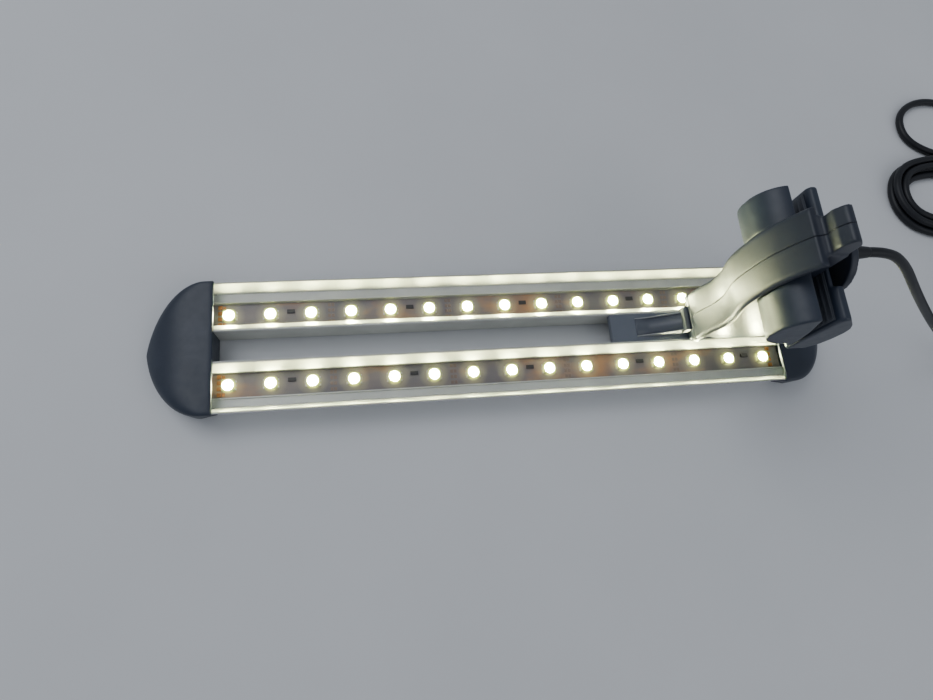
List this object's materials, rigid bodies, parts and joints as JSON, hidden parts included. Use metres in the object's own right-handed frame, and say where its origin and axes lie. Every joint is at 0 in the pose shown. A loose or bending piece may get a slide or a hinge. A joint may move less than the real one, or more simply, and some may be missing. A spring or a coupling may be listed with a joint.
{
  "type": "led aquarium light",
  "caption": "Slim clip-on aquarium light: parallel channels of LEDs between rounded caps, with a curved neck, a sprung jaw clamp and a cord with a plug-in supply.",
  "frame": {"origin": "on the surface that the light lies on, under the middle of the light bar, between its two channels", "axes": "+X along the light towards the clamp end, +Y across the light, +Z out of the lamps; in use +Z points down into the tank"},
  "size_m": [0.4604, 0.1605, 0.1088],
  "materials": {
    "aluminium": "bright anodised",
    "strip": "satin solder mask over copper",
    "led_body": "white package",
    "led_face": "lit phosphor, emissive",
    "resistor": "black chip",
    "solder": "tinned copper",
    "black_plastic": "satin moulded",
    "gloss_black": "polished",
    "clamp_plastic": "satin moulded",
    "screw": "zinc plated",
    "rubber": "soft",
    "spring": "spring steel",
    "cable": "black PVC sheath",
    "wire": "insulated lead",
    "board": "circuit board",
    "adapter": "moulded",
    "pins": "nickel plated"
  },
  "bodies": {
    "lamp": {"bar_front": "aluminium", "led_strip_front": "strip", "led_packages_front": "led_body", "led_faces_front": "led_face", "resistors_front": "resistor", "solder_joints_front": "solder", "clamp_shell_front": "clamp_plastic", "fixed_jaw_front": "clamp_plastic", "bar_rear": "aluminium", "led_strip_rear": "strip", "led_packages_rear": "led_body", "led_faces_rear": "led_face", "resistors_rear": "resistor", "solder_joints_rear": "solder", "clamp_shell_rear": "clamp_plastic", "fixed_jaw_rear": "clamp_plastic", "end_cap_left": "black_plastic", "end_cap_right": "black_plastic", "cap_screws": "screw", "gap_bracket": "black_plastic", "back_plate": "screw", "base_screws": "screw", "neck_tongue": "gloss_black", "neck_collar": "clamp_plastic", "shell_screws": "screw", "fixed_pads": "rubber", "jaw_dowels": "screw", "jaw_spring": "spring", "lead_wires": "wire", "cap_wires": "wire", "wiring_board": "board", "cord_gland": "cable", "power_cord": "cable", "cord_coil": "cable", "cord_tail": "cable", "adapter_base": "adapter", "adapter_cover": "adapter", "adapter_pins": "pins", "adapter_relief": "cable"},
    "jaw": {"moving_jaw": "clamp_plastic", "jaw_pad": "rubber", "jaw_guide_pin": "screw", "pin_nut": "screw"}
  },
  "joints": [
    {"name": "jaw_slide", "type": "slide", "parent": "lamp", "child": "jaw", "axis": [1, 0, 0], "range_m": [0, 0.0043], "stiffness_N_per_m": 900, "springref_m": -0.004, "deforming": ["jaw_spring"]}
  ]
}
